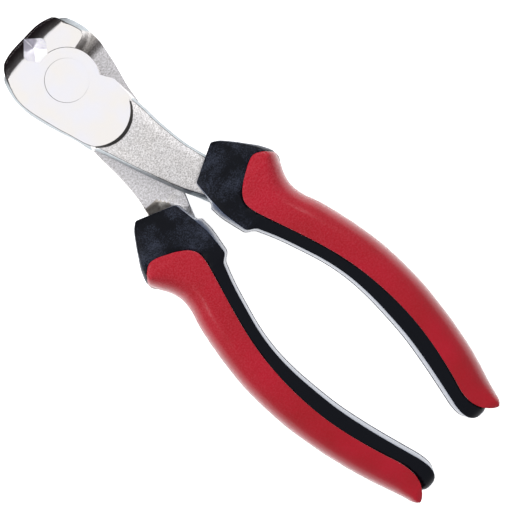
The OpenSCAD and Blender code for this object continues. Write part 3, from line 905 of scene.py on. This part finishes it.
def nose_reach(height):
    """How far the ground nose reaches at a height above or below the lap plane."""
    for (low, y_low), (high, y_high) in zip(NOSE_PROFILE, NOSE_PROFILE[1:]):
        if height <= high:
            return y_low + (y_high - y_low) * (height - low) / (high - low)
    return NOSE_PROFILE[-1][1]


def hollow_points(height, circle_r):
    """Front of the outline at the parting plane, then the hollow's stations back to the boss."""
    front = nose_reach(height)
    start = (-EDGE_GAP / 2, front)
    curve = [(-EDGE_GAP / 2, VALLEY_Y - FLARE * max(height - FLARE_FROM, 0))] + HOLLOW_CURVE
    for a, b in zip(curve, curve[1:]):
        if b[1] < front <= a[1]:
            start = between(a, b, (a[1] - front) / (a[1] - b[1]))
    kept = [p if p[1] < front else start for p in curve]
    boss = (HOLLOW_END_X, math.sqrt(circle_r**2 - HOLLOW_END_X**2))
    return start, [boss] + list(reversed(kept))


print("The hollow is", round(-2 * min(x for x, _ in HOLLOW_CURVE), 1), "mm wide")

# %% One level of the head
LAP_Z_OWN = LAP_GAP / 2
EDGE_CHAMFER, EDGE_CHAMFER_DEPTH = 0.16, 0.22
OWN_LEVELS = [LAP_Z_OWN, 0.5, 1.2, 2.0, 3.0] + [z for z, _ in NOSE_PROFILE[2:]]
FAR_LEVELS = [LAP_Z_OWN, -0.1, -0.35, -0.8, -1.4, -2.2, -3.0] + [-z for z, _ in NOSE_PROFILE[2:]]
BOSS_STATIONS, SEAT_STATIONS, END_STATIONS = 26, 8, 14


def arc(centre, radius, start, end, count):
    """Plan points on an arc, in degrees, with both ends."""
    turns = [math.radians(start + (end - start) * k / (count - 1)) for k in range(count)]
    return [(centre[0] + radius * math.cos(t), centre[1] + radius * math.sin(t)) for t in turns]


def fillet_share(height):
    """1 at the lap plane, falling to 0 as a quarter circle at the top of the fillet."""
    rest = max(1 - abs(height) / FILLET, 0)
    return 1 - math.sqrt(1 - rest**2)


def broken_edge(z):
    """How far the flank steps in at the very edge of a ground face, where the sharp corner is broken."""
    return EDGE_CHAMFER * max(1 - (FACE - abs(z)) / EDGE_CHAMFER_DEPTH, 0)


def jaw_points(z):
    """Nose and flank of the jaw at one level."""
    height = max(abs(z), LAP_Z_OWN)
    curve = (NOSE_PROFILE[0][1] - nose_reach(height)) / (NOSE_PROFILE[0][1] - NOSE_PROFILE[-1][1])
    draft = height / FACE
    points = []
    for k, row in enumerate(JAW_STATIONS):
        face = row[2:4] if z > 0 else row[4:6]
        lean = LEANING.get(k, 0) * z / FACE
        middle = (row[0] + CORNER_LEAN[0] * lean, row[1] + CORNER_LEAN[1] * lean)
        x, y = between(middle, face, row[6] * curve + (1 - row[6]) * draft)
        points.append((x + broken_edge(z) * (k >= BROKEN_FROM), y))
    if z > 0:
        x, y = between(JAW_BACK[:2], JAW_BACK[2:4], draft)
        return points + [(x + broken_edge(z), y)]
    x, y = between((JAW_BACK[0], JAW_BACK[5]), JAW_BACK[4:6], draft)
    return points + [(x + broken_edge(z), y - (JAW_BACK[5] - JAW_BACK[1]) * fillet_share(z))]


def own_level(z):
    """Outline on the lever's own side: jaw, plate and boss."""
    draft = z / FACE
    give = -GIVE_WAY * fillet_share(z)
    start, hollow = hollow_points(z, BOSS_R)
    flank = [between(r[:2], r[2:4], draft) for r in PLATE_FLANK]
    flank = [(x + broken_edge(z), y) for x, y in flank]
    step = STEP_WIDTH * min(max((FACE - z) / STEP_DEPTH, 0), 1)
    end = []
    for k, (x, y) in enumerate(arc(FACE_END, FACE_END_R, FACE_END_FROM, FACE_END_TO, END_STATIONS)):
        out = Vector((x - FACE_END[0], y - FACE_END[1])).normalized()
        out *= step * (STEP_LEAST + (1 - STEP_LEAST) * math.sin(math.pi * k / (END_STATIONS - 1)))
        end.append((x + out.x, y + out.y))
    shoulder = []
    for r in PLATE_SHOULDER:
        x, y = between(r[:2], r[2:4], draft)
        turn = give * r[4]
        shoulder.append((x * math.cos(turn) - y * math.sin(turn), x * math.sin(turn) + y * math.cos(turn)))
    last = math.degrees(math.atan2(shoulder[-1][1], shoulder[-1][0]))
    boss_end = math.degrees(math.atan2(hollow[0][1], hollow[0][0]))
    boss = arc((0, 0), BOSS_R, last, boss_end, BOSS_STATIONS)[1:-1]
    return [(x, y, z) for x, y in [start] + jaw_points(z) + flank + end + shoulder + boss + hollow]


def far_level(z):
    """Outline on the far side, where only the jaw stands."""
    reach = FILLET_REACH * fillet_share(z)
    start, hollow = hollow_points(max(abs(z), LAP_Z_OWN), SEAT_R if z < 0 else BOSS_R)
    wall = [(x, y - reach) for x, y in BACK_WALL]
    seat_y = WALL_END_Y - reach
    seat_start = math.degrees(math.atan2(seat_y, -math.sqrt(SEAT_R**2 - seat_y**2)))
    seat_end = math.degrees(math.atan2(hollow[0][1], hollow[0][0]))
    seat = arc((0, 0), SEAT_R, seat_start, seat_end, SEAT_STATIONS)[:-1]
    jaw = jaw_points(z if z < 0 else -LAP_Z_OWN)
    return [(x, y, z) for x, y in [start] + jaw + wall + seat + hollow]


print("Level cuts:", len(OWN_LEVELS), "on the lever's own side and", len(FAR_LEVELS), "on the far side")

# %% [markdown]
# ## The shank and the tang
#
# Behind the head the forging runs on as a bar, flat on the lap side, drafted at both edges and slightly crowned
# on top. It thins towards the grip, and goes on inside it as a tang. Cross sections from edge to edge suit a bar
# better than level cuts, so it is lofted along its length. Its lap side falls away in a shallow dish where the
# round cutter that milled it left the metal.

# %% Sections of the bar
# Lower edge x and y, upper edge x and y, top, bottom, inset of the top's edge
BAR_RIBS = [
    (-10.2, -14.5, 9.9, -14.0, 8.9, 0.06, 1.0), (-9.85, -17.0, 9.95, -16.6, 9.0, 0.06, 1.0),
    (-9.4, -18.7, 10.0, -18.0, 9.0, 0.06, 1.0), (-8.8, -20.3, 10.1, -19.5, 9.0, 0.06, 1.0),
    (-8.1, -22.6, 10.2, -22.0, 8.85, 0.06, 1.0), (-7.35, -25.0, 10.15, -24.6, 8.7, 0.06, 1.0),
    (-5.45, -31.3, 10.35, -30.2, 8.2, 0.06, 1.0), (-3.0, -38.6, 11.1, -37.6, 7.4, 0.06, 1.0),
    (-1.6, -42.6, 12.0, -41.6, 6.9, 0.06, 1.0), (0.1, -47.2, 13.2, -46.4, 6.4, 0.06, 1.2),
    (1.8, -51.0, 13.8, -50.2, 6.0, -0.5, 1.4), (3.2, -54.5, 14.0, -54.2, 5.7, -3.8, 1.6),
    (5.1, -58.0, 13.5, -58.0, 5.2, -5.2, 1.8),
    (7.4, -65.1, 15.6, -65.1, 4.7, -4.7, 1.8), (10.0, -72.0, 18.0, -72.0, 4.4, -4.4, 1.8),
    (13.7, -82.4, 21.3, -82.4, 4.0, -4.0, 1.8), (16.8, -94.7, 24.0, -94.7, 3.8, -3.8, 1.8),
    (18.6, -107.0, 25.5, -107.0, 3.6, -3.6, 1.8), (18.4, -119.0, 25.0, -119.0, 3.4, -3.4, 1.8),
    (16.4, -131.0, 22.8, -131.0, 3.2, -3.2, 1.7), (14.5, -140.9, 20.5, -140.9, 3.0, -3.0, 1.5),
    (13.9, -145.0, 18.7, -145.0, 2.6, -2.6, 1.2),
]
BAR_CROWN, BAR_CROWN_POWER = 0.45, 3
LOWER_CORNER, UPPER_CORNER = 0.35, 0.2
RUN_OUT_R, RUN_OUT_X, RUN_OUT_LAG, RUN_OUT_CURVE = 42.1, 8, 0.68, 1.6
RUN_OUT_RATE, RUN_OUT_DEPTH = 0.13, 4.0
# Points of a section up to this height above its bottom follow the run-out
RUN_OUT_TAKES = 0.3
TOP_STEPS, BOTTOM_STEPS = 8, 7


def lap_run_out(x, y, lowest):
    """Drop of the lap side where the round cutter that milled it leaves the metal."""
    start = RUN_OUT_R + RUN_OUT_LAG * max(RUN_OUT_X - x, 0) ** RUN_OUT_CURVE
    past = max(math.hypot(x, y) - start, 0)
    full = min(RUN_OUT_RATE * past**2, RUN_OUT_DEPTH)
    return -max(full - max(LAP_GAP / 2 - lowest, 0), 0)


def bar_section(rib):
    """One ring of the bar: bottom, drafted sides with soft corners, and a crowned top."""
    left, right = Vector(rib[:2]), Vector(rib[2:4])
    top, bottom, inset = rib[4:7]
    width = (right - left).length
    rim = top - BAR_CROWN
    # Distance in from the side and height, from the lower corner up the draft and over the soft upper corner
    side = [(LOWER_CORNER, bottom), (0.06, bottom + 0.25), (0.0, bottom + (top - bottom) * 0.3),
            (inset * 0.45, top - 2.4), (inset * 0.86, rim - 0.45),
            (inset, rim - UPPER_CORNER), (inset + UPPER_CORNER, rim - 0.06)]
    half = [(LOWER_CORNER + (width / 2 - LOWER_CORNER) * k / BOTTOM_STEPS, bottom)
            for k in range(BOTTOM_STEPS - 1, 0, -1)] + side
    for k in range(1, TOP_STEPS // 2):
        u = inset + UPPER_CORNER + (width / 2 - inset - UPPER_CORNER) * k / (TOP_STEPS / 2)
        half.append((u, top - BAR_CROWN * abs(1 - 2 * u / width) ** BAR_CROWN_POWER))
    along = (right - left) / width
    mirrored = [(width - u, z) for u, z in reversed(half)]
    ring = [(width / 2, bottom)] + half + [(width / 2, top)] + mirrored
    section = []
    for u, z in ring:
        place = left + along * u
        if z < bottom + RUN_OUT_TAKES:
            z += lap_run_out(*place, bottom)
        section.append((*place, z))
    return section


print("Points on one section of the bar:", len(bar_section(BAR_RIBS[0])))

# %% [markdown]
# ## Which finish goes where
#
# On the real lever each surface shows the tool that made it. Where a face lies and which way it points tell which
# one that was, so a few rules pick the finish of every face. A lean is the z of a face's normal: 0 on an upright
# wall and 1 on a level face.

# %% Finish of each face of a lever
UPRIGHT, LEVEL, FULLY_LEVEL = 0.3, 0.9, 0.999
BROKEN_LEAN, STEP_LEAN, STEP_LEVEL, FLANK_LEAN = 0.2, 0.3, 0.95, 0.6
FACING_HOLLOW, FACING_OUT = 0.3, -0.2
TOUCH, SLACK, SEAT_TOUCH = 0.01, 0.1, 0.06
HOLLOW_REACH, EDGE_REACH = 0.3, 0.5
HOLLOW_X, GROUND_NOSE_Y, FACE_STEP_Y, FLANK_X = -4.1, 12.4, -16, -9.3
UNDER_BAR, BAR_SIDE_LEAN, BAR_LINE_LEAN = 0.05, 0.4, 0.62
DISH_FROM_X, DISH_DROP = 5.5, 0.06
SHANK_LINE_END_Y = -60


def head_finish(face):
    """Which finish a face of the head wears."""
    centre, normal = face.calc_center_median(), face.normal
    radius, lean = math.hypot(centre.x, centre.y), abs(normal.z)
    if abs(centre.z) > FACE - TOUCH and lean > LEVEL:
        return GROUND
    in_hollow = centre.x > HOLLOW_X and centre.y > SEAT_R - HOLLOW_REACH and radius > SEAT_R + SLACK
    if in_hollow and normal.x > FACING_HOLLOW:
        return BROACHED
    corner_x = NOSE_END[0] + (centre.y - NOSE_END[1]) * NOSE_END[2]
    if centre.y > GROUND_NOSE_Y and centre.x > corner_x and lean < FULLY_LEVEL:
        return GROUND
    broken_corner = (abs(centre.z) > FACE - EDGE_CHAMFER_DEPTH and BROKEN_LEAN < lean < LEVEL
                     and radius > SEAT_R + EDGE_REACH)
    round_wall = lean < UPRIGHT and (radius < RIVET_HEAD_R + SLACK
                                     or centre.z < 0 and abs(radius - SEAT_R) < SEAT_TOUCH)
    face_step = (centre.y < FACE_STEP_Y and centre.z > FACE - STEP_DEPTH - SLACK
                 and STEP_LEAN < normal.z < STEP_LEVEL)
    # The walls round the rivet and the seat get painted shade for their narrow gaps; the broken corners and the
    # face step get the same dark line
    if broken_corner or round_wall or face_step:
        return DARK_LINE
    if abs(centre.z - LAP_Z_OWN) < TOUCH:
        return MILLED
    flank = (centre.x < FLANK_X and normal.x < FACING_OUT and lean < FLANK_LEAN
             and (centre.z > 0 or centre.y > JAW_BACK[5]))
    return TRIMMED if flank else FORGED


def bar_finish(face):
    """Which finish a face of the bar wears."""
    centre, lean = face.calc_center_median(), face.normal.z
    if centre.z < LAP_Z_OWN + UNDER_BAR and lean < -BAR_SIDE_LEAN:
        dish = centre.x > DISH_FROM_X and lap_run_out(centre.x, centre.y, LAP_Z_OWN) < -DISH_DROP
        return DISHED if dish else MILLED
    # A dark line along the upper edges of the shank, in the same dull dark finish
    if BAR_SIDE_LEAN < lean < BAR_LINE_LEAN and centre.y > SHANK_LINE_END_Y:
        return DARK_LINE
    return TRIMMED if abs(lean) < BAR_SIDE_LEAN else FORGED


# %% [markdown]
# ## One lever
#
# The head's walls are raised level by level, on its own side and on the far side. Then the open planes are
# filled, round the bore for the rivet, and the bar joins the head as a second shell of the same mesh.

# %% One lever
MERGE, DEGENERATE, IN_PLANE = 0.002, 0.001, 0.001
BORE_POINTS = 60
BAR_STEPS = 5


def close_plane(bm, z):
    """Fills what lies open in one level plane, round any holes."""
    rim = [e for e in bm.edges if len(e.link_faces) == 1 and all(abs(v.co.z - z) < IN_PLANE for v in e.verts)]
    made = bmesh.ops.triangle_fill(bm, use_beauty=True, use_dissolve=False, edges=rim, normal=(0, 0, 1))
    return [f for f in made["geom"] if isinstance(f, bmesh.types.BMFace)]


def build_lever():
    """Head, bar and tang of one lever."""
    bm = bmesh.new()
    raise_wall(bm, [own_level(z) for z in OWN_LEVELS])
    raise_wall(bm, [far_level(z) for z in FAR_LEVELS])
    bore = [(RIVET_HEAD_R, FACE), (RIVET_HEAD_R, FACE - RIVET_HEAD_T), (RIVET_R, FACE - RIVET_HEAD_T),
            (RIVET_R, LAP_Z_OWN)]
    last_turn = 360 - 360 / BORE_POINTS
    raise_wall(bm, [[(x, y, z) for x, y in arc(BORE_SHIFT, r, 0, last_turn, BORE_POINTS)] for r, z in bore])
    bmesh.ops.remove_doubles(bm, verts=bm.verts, dist=MERGE)
    bmesh.ops.dissolve_degenerate(bm, dist=DEGENERATE, edges=bm.edges)
    close_plane(bm, FACE)
    close_plane(bm, -FACE)
    disc = [f for f in close_plane(bm, LAP_Z_OWN)
            if all((v.co.to_2d() - Vector(BORE_SHIFT)).length < RIVET_R + TOUCH for v in f.verts)]
    bmesh.ops.delete(bm, geom=disc, context="FACES")
    bmesh.ops.recalc_face_normals(bm, faces=bm.faces)
    open_edges = [e for e in bm.edges if len(e.link_faces) != 2]
    print("Open edges on the head:", len(open_edges))
    for face in bm.faces:
        face.material_index = head_finish(face)
    bar = bmesh.new()
    loft(bar, [bar_section(r) for r in smooth_rows(BAR_RIBS, BAR_STEPS)])
    for face in bar.faces:
        face.material_index = bar_finish(face)
    spare = bpy.data.meshes.new("bar_of_lever")
    bar.to_mesh(spare)
    bar.free()
    bm.from_mesh(spare)
    bpy.data.meshes.remove(spare)
    return bm


place_pair(build_lever(), "lever", LEVER_FINISHES)

# %% [markdown]
# ## The rivet
#
# The rivet keeps its exact CAD shape. It is ground flush together with the two faces, so it wears their finish.

# %% Finish of the rivet
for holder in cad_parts["pivot_rivet"].material_slots:
    holder.link = "OBJECT"
    holder.material = FINISH["rivet_steel"]
print("The rivet wears", FINISH["rivet_steel"].name)
